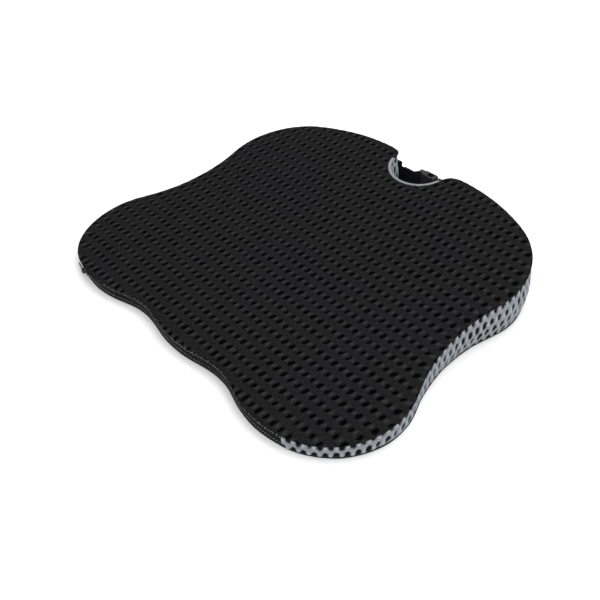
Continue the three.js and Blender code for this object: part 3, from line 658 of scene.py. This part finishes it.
for name, start, stop, body_node in (("grey_wall_right", front_half - END_OVERLAP, notch_start, "side_band_right"),
                                     ("notch_wall", notch_start, AROUND - notch_start, "notch_band"),
                                     ("grey_wall_left", AROUND - notch_start, AROUND - front_half,
                                      "side_band_left")):
    in_notch = name == "notch_wall"
    columns = int((stop - start) / (BAND_COLUMN / 7))
    run = np.linspace(start, stop, columns)
    from_end = (run - start) if name == "grey_wall_right" else (stop - run)
    wall = rim_at(run)
    top = top_height(wall[:, 1])
    seam = top - ROLL_DROP + BAND_SEAM_UP
    flat = strap_pull(*wall.T)
    rows, row_uv = [], []
    for up in np.concatenate([[-0.05, -0.01], np.linspace(0.02, 0.93, 34), [0.96, 0.985, 1.0, 1.01]])[
            :-3 if in_notch else None]:
        up_in = np.clip(up, 0, 1)
        z = BAND_FOOT + (seam - BAND_FOOT) * up_in
        out = wall_bulge(*wall.T, up_in) - BAND_IN
        if not in_notch:
            out += 0.35 * LIP * np.exp(-((up - 0.962) / 0.025) ** 2)
        if up > 0.99:
            out -= 0.0030 * (up - 0.975) / 0.035
        if up < 0:
            out -= 0.004 * (-up) / 0.05 + 0.0002
        if not in_notch:
            out += END_FOLD * np.exp(-((from_end - 0.0022) / 0.0018) ** 2)
            if name == "grey_wall_right":
                out += STOP_CLEAR * np.exp(-((from_end - 0.0050) / 0.0030) ** 2)
            out -= END_TUCK * (1 - smooth_step(from_end, 0.0, 0.0014))
        cloth_up = z - seam + BAND_FIRST_ROW - 0.5 * BAND_ROW
        in_hole, on_rib = air_mesh_relief(run, cloth_up, BAND_COLUMN, BAND_ROW, BAND_HOLE)
        hold = smooth_step(up, 0.0, 0.03) * (1 - smooth_step(up, 0.95, 0.985))
        out += hold * (BAND_RIB_HEIGHT * (1 - flat) * on_rib - BAND_HOLE_DEPTH * in_hole)
        waver = np.array([noise.noise((d * 30, h * 40, 2.0)) for d, h in zip(run, z)])
        out += WAVER * waver * (1 - flat) - STRAP_DENT * flat * smooth_step(up, 0.0, 0.1) * (
            1 - smooth_step(up, 0.88, 0.95))
        rows.append(at_height(rim_at(run, out), z))
        row_uv.append(np.column_stack([run, cloth_up]))
    if in_notch:
        share = notch_share(*wall.T)
        for out, rise in NOTCH_LIP:
            out = out + LIP_RIPPLE * np.sin(run * 2 * math.pi / LIP_RIPPLE_PITCH) - 0.0016 * (1 - share)
            height = top + NOTCH_RISE + rise - np.minimum(0.0052, 0.004 - rise) * (1 - share)
            rows.append(at_height(rim_at(run, out), height))
            row_uv.append(at_height(run, 0.3 * rise))
    band = mesh_object(name, np.vstack(rows), strip_faces(0, len(rows), columns), np.vstack(row_uv))
    band.data.materials.append(grey_mesh)
    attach(band, "cushion")
    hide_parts(body_node)

# ---------------------------------------------------------------------------------------------------------------
# Base: a plain black woven non-slip cloth, bound round its edge and dotted underneath with small domes of
# silicone that grip the seat. Only the dots touch the seat.
BASE_CLOTH, BASE_CELL, BASE_MARGIN = 0.00035, 0.004, 0.0035
BINDING = ((-0.0022, 0.00028), (-0.0006, 0.00030), (0.0002, 0.0005), (0.0005, 0.0009), (0.0003, 0.0014),
           (-0.0007, 0.0017), (-0.0032, 0.0018))
BINDING_RIPPLE, BINDING_PITCH = 0.00012, 0.0028
DOT_PITCH, DOT_RADIUS, DOT_SIDES = 0.0115, 0.0014, 8
DOT_PROFILE = ((1.0, 0.0007), (1.0, 0.00022), (0.72, 0.00005))
base_count = ring_count // 2
base_distance = np.arange(base_count) * AROUND / base_count
base_plan, faces = filled_plan(rim_at(base_distance, -BASE_MARGIN), rim_at(base_distance, -BASE_MARGIN - 0.001),
                               BASE_CELL, BASE_CELL)
ripple = np.array([noise.noise((x * 35, y * 35, 5.0)) for x, y in base_plan]) * 0.00012
points = [at_height(base_plan, BASE_CLOTH + np.abs(ripple))]
for out, z in BINDING:
    ripple = BINDING_RIPPLE * np.sin(base_distance / BINDING_PITCH * 2 * math.pi)
    points.append(at_height(rim_at(base_distance, out + ripple), z))
faces = [face[::-1] for face in faces] + ring_faces(len(base_plan), base_count, len(BINDING), (0, 3, 2, 1))
base = mesh_object("base_cloth", np.vstack(points), faces)

weave, given, result = new_group("plain_weave", ("Pitch",), ("Thread", "Height"))
parts = node(weave, "ShaderNodeSeparateXYZ", {0: given["Vector"]}).outputs
waves = []
for axis, other in (("X", "Y"), ("Y", "X")):
    across, along = (times(over(parts[name], given["Pitch"]), math.pi) for name in (axis, other))
    across = maths("SINE", across)
    crossing = times(maths("SINE", plus(along, 0.785)), maths("SIGN", across))
    waves.append(times(maths("ABSOLUTE", across), plus(times(crossing, 0.5), 0.5)))
thread = maths("MAXIMUM", *waves)
fray = cloudy(given["Vector"], 2600.0, 2.0)
feed(result, {"Thread": thread, "Height": plus(thread, times(fray, 0.3))})


def woven_material(name, pitch, gap_shade_and_dye, crest_highlight, on_uv=True, roughness=0.85, bump=0.6, specular=0.1):
    """Woven cloth: gaps between threads darkened as painted shade, thread tops lightened as a painted highlight, and
    a little uneven dye.
    """
    material, tree, shader = new_material(name)
    place = node(tree, "ShaderNodeUVMap", uv_map="cloth").outputs[0] if on_uv else object_place(tree)
    cloth = node(tree, "ShaderNodeGroup", node_tree=weave)
    feed(cloth, {"Vector": place, "Pitch": pitch})
    thread = cloth.outputs["Thread"]
    dye = smooth_range(cloudy(place, 45.0, 4.0), 0.3, 0.75, 0.0, 0.35)
    # The thread mask darkens the gaps (painted shade) and lightens the thread tops (painted highlight); the dye drift
    # darkens towards the gap colour.
    feed(shader, {"Base Color": colour_mix(dye, colour_mix(thread, gap_shade_and_dye, crest_highlight), gap_shade_and_dye),
                  "Roughness": smooth_range(thread, 0.0, 1.0, roughness + 0.1, roughness - 0.08),
                  "Specular IOR Level": specular, "Normal": raised(cloth.outputs["Height"], bump, 0.3 * pitch)})
    return material


base.data.materials.append(woven_material("base_weave", 0.0009, (0.010, 0.010, 0.011), (0.040, 0.040, 0.041),
                                          on_uv=False))
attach(base, "cushion")
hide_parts("base_panel")

dotted = rim_at(base_distance, -0.012)
sides = np.arange(DOT_SIDES) * 2 * math.pi / DOT_SIDES
dot_points, dot_faces = [], []
for row_number, y in enumerate(np.arange(-18, 19) * DOT_PITCH * math.sqrt(0.75)):
    xs = (np.arange(-20, 21) + 0.5 * (row_number % 2)) * DOT_PITCH
    for x in xs[inside_rows(dotted, xs, [y])[0]]:
        first = len(dot_points)
        for radius, z in DOT_PROFILE:
            dot_points += [(x + DOT_RADIUS * radius * math.cos(a), y + DOT_RADIUS * radius * math.sin(a), z)
                           for a in sides]
        dot_faces += [face[::-1] for face in strip_faces(first, len(DOT_PROFILE), DOT_SIDES, True)]
        last = first + DOT_SIDES * (len(DOT_PROFILE) - 1)
        dot_faces += [list(range(last + DOT_SIDES - 1, last - 1, -1)), list(range(first, first + DOT_SIDES))]
dots = mesh_object("grip_dots", dot_points, dot_faces)
material, tree, shader = new_material("silicone")
dust = cloudy(object_place(tree), 120.0, 4.0)
feed(shader, {"Base Color": colour_mix(dust, (0.012, 0.012, 0.013), (0.05, 0.05, 0.052)),
              "Roughness": smooth_range(dust, 0.3, 0.7, 0.35, 0.6)})
dots.data.materials.append(material)
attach(dots, "cushion")

# ---------------------------------------------------------------------------------------------------------------
# Zip tapes: two black woven polyester tapes along the thin front edge, one sewn to the base and one to the top.
# Each rolls under at the seam, and a row of lighter thread holds it down beside the teeth.
TAPE_RECESS, TAPE_WIDTH, TAPE_BELLY, TAPE_RUNS = 0.0012, 0.012, 0.0007, 310
TAPE_RIPPLE = 0.00018
STITCH_PITCH, STITCH_LENGTH, STITCH_OUT, THREAD = 0.0032, 0.0020, 0.00085, 0.00040
TACK_OUT, TACK_DROP, TACK_LENGTH, TACK_THREAD = 0.0012, 0.0023, 0.0019, 0.00045


def turn_outwards(piece):
    turned = bmesh.new()
    turned.from_mesh(piece.data)
    bmesh.ops.recalc_face_normals(turned, faces=turned.faces)
    turned.to_mesh(piece.data)
    turned.free()


def stitches(name, starts, ends, outward, thick, material):
    """One short raised stitch between each start and end."""
    starts, ends, outward = (np.asarray(v, float) for v in (starts, ends, outward))
    along = ends - starts
    across = np.cross(along, outward)
    across /= np.linalg.norm(across, axis=1, keepdims=True)
    rows = []
    for share, size, lift in ((0, 0.35, -0.3), (0.2, 0.9, 0.5), (0.8, 0.9, 0.5), (1, 0.35, -0.3)):
        centre = starts + along * share + outward * thick * lift
        rows.append(np.stack([centre + thick * size * (across * math.cos(a) + outward * math.sin(a))
                              for a in np.arange(6) * math.pi / 3], 1))
    faces = []
    for first in range(0, 24 * len(starts), 24):
        faces += strip_faces(first, 4, 6, True)
        faces += [list(range(first + 5, first - 1, -1)), list(range(first + 18, first + 24))]
    made = mesh_object(name, np.stack(rows, 1).reshape(-1, 3), faces)
    turn_outwards(made)
    made.data.materials.append(material)
    return made


def thread_finish(name, dark, light):
    """Twisted polyester thread."""
    material, tree, shader = new_material(name)
    ply = cloudy(object_place(tree), 1500.0, 2.0)
    feed(shader, {"Base Color": colour_mix(smooth_range(ply, 0.35, 0.65), dark, light), "Roughness": 0.6,
                  "Specular IOR Level": 0.15, "Normal": raised(ply, 0.5, 0.0001)})
    return material


def away_at(distance, z=0.0):
    """The way out of the wall at distances round the cover, with a rise."""
    return at_height((rim_at(distance, 0.01) - rim_at(distance)) / 0.01, z)


sewing_thread = thread_finish("sewing_thread", (0.10, 0.10, 0.105), (0.34, 0.34, 0.35))
# Tack thread: its lighter colour also stands in for the highlights on the seam's pinched puckers, a painted
# highlight.
tack_thread_highlight = thread_finish("tack_thread_highlight", (0.035, 0.035, 0.037), (0.12, 0.12, 0.125))
black_thread = thread_finish("black_thread", (0.020, 0.020, 0.022), (0.085, 0.085, 0.09))

tape_weave = woven_material("zip_tape_weave", 0.0008, (0.0012, 0.0012, 0.0012), (0.0060, 0.0060, 0.0060),
                            specular=0.02)
run = np.linspace(-front_half + 0.0006, front_half - 0.0006, TAPE_RUNS)
for name, body_node, base_side in (("tape_lower", "zip_tape_lower", True), ("tape_upper", "zip_tape_upper", False)):
    low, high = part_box(body_node)[0][2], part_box(body_node)[1][2]
    rows, row_uv = [], []
    for share in np.linspace(0, 1, 9):
        z = low + (high - low) * (share if base_side else 1 - share)
        out = -TAPE_RECESS + TAPE_BELLY * math.sin(math.pi * min(1, share * 1.1))
        out -= {0: 0.0016, 1: 0.0006}.get(share, 0.0)
        wave = TAPE_RIPPLE * np.sin(run * 2 * math.pi / PINCH_PITCH + 3 * np.sin(run * 40)) * (1 - share)
        rows.append(at_height(rim_at(run, out + wave), z))
        row_uv.append(at_height(run, z))
    if not base_side:
        rows, row_uv = rows[::-1], row_uv[::-1]
    tape = mesh_object(name, np.vstack(rows), strip_faces(0, len(rows), len(run)), np.vstack(row_uv))
    tape.data.materials.append(tape_weave)
    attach(tape, "cushion")
    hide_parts(body_node)

stitch_at = np.arange(-front_half + 0.004, front_half - 0.004, STITCH_PITCH)
for name, z in (("stitches_lower", 0.0044), ("stitches_upper", 0.0112)):
    starts, ends = (at_height(rim_at(stitch_at + d, -TAPE_RECESS + STITCH_OUT), z) for d in (0.0, STITCH_LENGTH))
    sewn = stitches(name, starts, ends, away_at(stitch_at), THREAD, sewing_thread)
    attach(sewn, "cushion")

# Short tacks of lighter thread at the front pinches of the top seam: real thread, and also a painted highlight on the
# pinched puckers.
tack_at = np.array([d for d in pinch_at if abs(np.mod(d + AROUND / 2, AROUND) - AROUND / 2) < front_half - 0.004])
tack_ends = []
for d in (0.0, TACK_LENGTH):
    at = rim_at(tack_at + d, TACK_OUT)
    tack_ends.append(at_height(at, top_height(at[:, 1]) - TACK_DROP))
tacks = stitches("front_seam_tacks_and_highlights", *tack_ends, away_at(tack_at, 0.3), TACK_THREAD, tack_thread_highlight)
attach(tacks, "cushion")

# ---------------------------------------------------------------------------------------------------------------
# Zip: two nylon coils with a metal stop at each end, and an enamelled slider with a small pull tab, parked at the
# left corner. These are the frame's own solids; the stops, slider and tab have their edges eased.
scuffs, given, result = new_group("scuffs", ("Amount",), ("Mask", "Grain"))
rubbed = smooth_range(cloudy(given["Vector"], 320.0, 6.0), 0.52, 0.72)
feed(result, {"Mask": times(rubbed, given["Amount"]), "Grain": cloudy(given["Vector"], 2400.0, 3.0)})


def hard_material(name, colour, worn, roughness, amount, grain, specular):
    """Moulded or enamelled finish with fine grain and rubbed patches. Roughness is given as new and as rubbed."""
    material, tree, shader = new_material(name)
    wear = node(tree, "ShaderNodeGroup", node_tree=scuffs)
    feed(wear, {"Vector": object_place(tree), "Amount": amount})
    mask = wear.outputs["Mask"]
    feed(shader, {"Base Color": colour_mix(mask, colour, worn), "Roughness": smooth_range(mask, 0.0, 1.0, *roughness),
                  "Specular IOR Level": specular, "Normal": raised(wear.outputs["Grain"], grain, 0.0001)})
    return material


def finish_node(name, material, bevel=0.0, segments=2):
    """A new material on a frame node, and its edges eased."""
    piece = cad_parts[name]
    piece.data.materials.clear()
    piece.data.materials.append(material)
    if bevel:
        weld = piece.modifiers.new("weld", "WELD")
        weld.merge_threshold = 1e-6
        ease = piece.modifiers.new("eased_edges", "BEVEL")
        ease.width = bevel
        ease.segments = segments
        ease.limit_method = "ANGLE"
        ease.angle_limit = math.radians(35)


coil_nylon = hard_material("coil_nylon", (0.004, 0.004, 0.0042), (0.03, 0.03, 0.032), (0.45, 0.6), amount=0.6,
                           grain=0.25, specular=0.05)
enamel = hard_material("black_enamel", (0.012, 0.012, 0.013), (0.16, 0.155, 0.15), (0.28, 0.45), amount=0.45,
                       grain=0.12, specular=0.5)
for name in ("zip_coil_lower", "zip_coil_upper"):
    finish_node(name, coil_nylon)
for name in ("zip_stop_left", "zip_stop_right", "zip_slider", "zip_pull_tab"):
    finish_node(name, enamel, 0.00022)

# ---------------------------------------------------------------------------------------------------------------
# Strap: 25 mm polypropylene webbing in two lengths, each sewn to a webbing patch on the rear wall with a boxed
# cross. The left length is folded round the socket's bar, the right one threads through the buckle's ladder.
SELVEDGE = ((0.0, 0.00042), (0.00022, 0.00014), (0.0006, 0.0))
WEBBING_STEP, WEBBING_RIPPLE = 0.0012, 0.00005
STRAP_OUT, PATCH_OUT = 0.0031, 0.0014
SEWN_END = 0.092
THREADED_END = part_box("buckle_plug")[1][0] + 0.0022
CROSS_PITCH, CROSS_GAP, CROSS_THREAD = 0.0027, 0.0003, 0.00022


def stepped(points, step):
    """Points along a closed line, about a step apart. Columns past the first two are carried along."""
    for a, b in zip(points, np.roll(points, -1, 0)):
        parts = max(1, int(np.linalg.norm((b - a)[:2]) / step))
        for k in range(parts):
            yield a + (b - a) * k / parts


def webbing_piece(node_name, name):
    """Webbing along a frame node's plan outline, with rounded selvedges and slightly wavy faces."""
    low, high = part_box(node_name)[0][2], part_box(node_name)[1][2]
    dense = np.array(list(stepped(outline_loop(node_name), WEBBING_STEP)))
    forward = np.roll(dense, -1, 0) - dense
    forward /= np.linalg.norm(forward, axis=1, keepdims=True)
    normal = np.column_stack([forward[:, 1], -forward[:, 0]])
    normal = normal + np.roll(normal, 1, 0)
    normal /= np.maximum(0.6, np.linalg.norm(normal, axis=1, keepdims=True))
    run = measured(dense)[1][:-1]
    levels = [(low + z, inset) for z, inset in SELVEDGE]
    levels += [(z, 0.0) for z in np.linspace(low + 0.003, high - 0.003, 7)]
    levels += [(high - z, inset) for z, inset in SELVEDGE[::-1]]
    rows = []
    for z, inset in levels:
        ripple = WEBBING_RIPPLE * np.sin(run * 900 + z * 3000) * (inset == 0)
        rows.append(at_height(dense - normal * (inset + ripple[:, None]), z))
    faces = strip_faces(0, len(levels), len(dense), True)
    last = (len(levels) - 1) * len(dense)
    faces += [list(range(len(dense)))[::-1], list(range(last, last + len(dense)))]
    made = mesh_object(name, np.vstack(rows), faces, np.vstack([at_height(run, z) for z, _ in levels]))
    made.data.materials.append(webbing_weave)
    return made


webbing_weave = woven_material("webbing_weave", 0.0014, (0.0012, 0.0012, 0.0022), (0.0065, 0.0065, 0.0095),
                               roughness=0.7, bump=0.8, specular=0.15)
strap_left = webbing_piece("strap_left", "webbing_left")
strap_right = webbing_piece("strap_right", "webbing_right")
threaded_right, sewn_right = (linked(name, strap_right.data.copy())
                              for name in ("webbing_right_threaded", "webbing_right_sewn"))
for piece, ends in ((threaded_right, ((THREADED_END, 1),)), (strap_right, ((THREADED_END, -1), (SEWN_END, 1))),
                    (sewn_right, ((SEWN_END, -1),))):
    cut = bmesh.new()
    cut.from_mesh(piece.data)
    for at, side in ends:
        found = bmesh.ops.bisect_plane(cut, geom=cut.verts[:] + cut.edges[:] + cut.faces[:], dist=1e-7,
                                       plane_co=(at, 0, 0), plane_no=(side, 0, 0), clear_outer=True)
        cut_edges = [e for e in found["geom_cut"] if isinstance(e, bmesh.types.BMEdge)]
        bmesh.ops.holes_fill(cut, edges=cut_edges, sides=0)
    cut.to_mesh(piece.data)
    cut.free()
    turn_outwards(piece)
patch_left = webbing_piece("anchor_patch_left", "sewn_patch_left")
patch_right = webbing_piece("anchor_patch_right", "sewn_patch_right")
for piece, body, nodes in ((strap_left, "cushion", ("strap_left",)), (strap_right, "cushion", ("strap_right",)),
                           (sewn_right, "cushion", ()), (threaded_right, "plug", ()),
                           (patch_left, "cushion", ("anchor_patch_left",)),
                           (patch_right, "cushion", ("anchor_patch_right",))):
    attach(piece, body)
    if nodes:
        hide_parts(*nodes)
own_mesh(strap_right)

rear_points = np.nonzero(rim_closed[:, 1] > 0.15)[0]
rear_points = rear_points[np.argsort(rim_closed[rear_points, 0])]


def rear_distance(x):
    """Distance round the cover of a place on the rear wall."""
    return np.interp(x, rim_closed[rear_points, 0], rim_distance[rear_points])


for name, (x0, x1), (z0, z1), out, crossed in (
        ("stitched_cross_left", (-0.0605, -0.0425), (0.0170, 0.0370), STRAP_OUT, True),
        ("stitched_cross_right", (0.0960, 0.1130), (0.0170, 0.0370), STRAP_OUT, True),
        ("patch_stitches_left", (-0.0645, -0.0375), (0.0118, 0.0452), PATCH_OUT, False),
        ("patch_stitches_right", (0.0935, 0.1165), (0.0118, 0.0452), PATCH_OUT, False)):
    lines = [((x0, z0), (x1, z0)), ((x1, z0), (x1, z1)), ((x1, z1), (x0, z1)), ((x0, z1), (x0, z0))]
    if crossed:
        lines += [((x0, z0), (x1, z1)), ((x0, z1), (x1, z0))]
    starts, ends = [], []
    for (xa, za), (xb, zb) in lines:
        span = math.hypot(xb - xa, zb - za)
        pitches = np.arange(int(span / CROSS_PITCH)) * CROSS_PITCH
        for along, kept in ((pitches + CROSS_GAP, starts), (pitches + CROSS_PITCH - 2 * CROSS_GAP, ends)):
            x, z = xa + (xb - xa) * along / span, za + (zb - za) * along / span
            kept.append(np.column_stack([rear_distance(x), z]))
    starts, ends = np.vstack(starts), np.vstack(ends)
    cross = stitches(name, *(at_height(rim_at(end[:, 0], out), end[:, 1]) for end in (starts, ends)),
                     away_at(ends[:, 0]), CROSS_THREAD, black_thread)
    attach(cross, "cushion")

# ---------------------------------------------------------------------------------------------------------------
# Keeper: a narrow loop of ribbed elastic that holds the loose tail against the right-hand strap and slides
# along both.
KEEPER_THICK, KEEPER_CORNER, KEEPER_STEP = 0.0012, 0.0016, 0.0012
KEEPER_EDGE, KEEPER_RIBS = 0.0003, 9
keeper_low, keeper_high = (np.array(corner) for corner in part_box("strap_keeper"))
middle, half = (keeper_low + keeper_high) / 2, (keeper_high - keeper_low) / 2
corner_path = []
for quarter, side in enumerate(((1, 1), (-1, 1), (-1, -1), (1, -1))):
    for angle in math.pi / 2 * (quarter + np.arange(7) / 6):
        out = np.array((math.cos(angle), math.sin(angle)))
        centre = middle[1:] + side * (half[1:] - KEEPER_THICK / 2 - KEEPER_CORNER) + KEEPER_CORNER * out
        corner_path.append((*centre, *out))
path = list(stepped(np.array(corner_path), KEEPER_STEP))
wide, thick = half[0], KEEPER_THICK / 2
section = [(-wide, 0), (-wide + KEEPER_EDGE, thick * 0.85)]
section += [(x, thick * (1.0 if k % 2 else 0.84))
            for k, x in enumerate(np.linspace(-wide + 0.0007, wide - 0.0007, KEEPER_RIBS))]
section += [(wide - KEEPER_EDGE, thick * 0.85), (wide, 0), (wide - KEEPER_EDGE, -thick * 0.85),
            (-wide + KEEPER_EDGE, -thick * 0.85)]
points, uv = [], []
for number, (y, z, out_y, out_z) in enumerate(path):
    points += [(middle[0] + x, y + out_y * t, z + out_z * t) for x, t in section]
    uv += [(x, number * KEEPER_STEP) for x, _ in section]
count = len(section)
last = (len(path) - 1) * count
faces = strip_faces(0, len(path), count, True)
faces += [(last + c, last + (c + 1) % count, (c + 1) % count, c) for c in range(count)]
keeper = mesh_object("elastic_keeper", points, faces, uv)
turn_outwards(keeper)
keeper.data.materials.append(woven_material("elastic_weave", 0.0007, (0.006, 0.006, 0.007), (0.035, 0.035, 0.037),
                                            bump=0.8))
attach(keeper, "keeper")
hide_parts("strap_keeper")

# ---------------------------------------------------------------------------------------------------------------
# Side-release buckle: socket and plug are moulded in dark acetal with a fine spark-eroded grain, eased along
# every edge. Both are the frame's own solids.
acetal = hard_material("moulded_acetal", (0.008, 0.007, 0.0065), (0.022, 0.020, 0.019), (0.5, 0.6), amount=0.3,
                       grain=0.35, specular=0.3)
for name in ("buckle_socket", "buckle_plug"):
    finish_node(name, acetal, 0.0004, 3)
